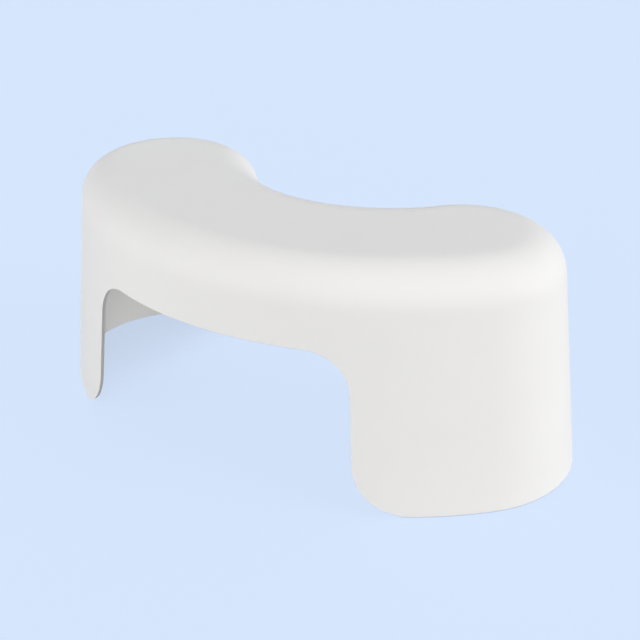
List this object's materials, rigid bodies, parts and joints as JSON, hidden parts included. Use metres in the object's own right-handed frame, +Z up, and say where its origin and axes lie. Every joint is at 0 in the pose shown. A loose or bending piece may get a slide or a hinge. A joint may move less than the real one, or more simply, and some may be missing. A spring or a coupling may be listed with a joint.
{
  "type": "toilet footstool",
  "caption": "Low curved footstool moulded in one thin shell, with two wrap-round legs and a hollowed back that fits round the foot of a toilet.",
  "frame": {"origin": "on the floor, in the middle of the stool's length and depth", "axes": "+X along the stool to the user's right, -Y the long curved front, +Y the hollowed side that goes round the toilet's foot, +Z up"},
  "size_m": [0.4928, 0.2437, 0.2],
  "materials": {
    "shell_plastic": "satin white moulded polypropylene",
    "foot_rubber": "matt light grey rubber"
  },
  "bodies": {
    "root": {"shell": "shell_plastic", "front_left_foot": "foot_rubber", "front_right_foot": "foot_rubber", "rear_left_foot": "foot_rubber", "rear_right_foot": "foot_rubber"}
  },
  "joints": []
}
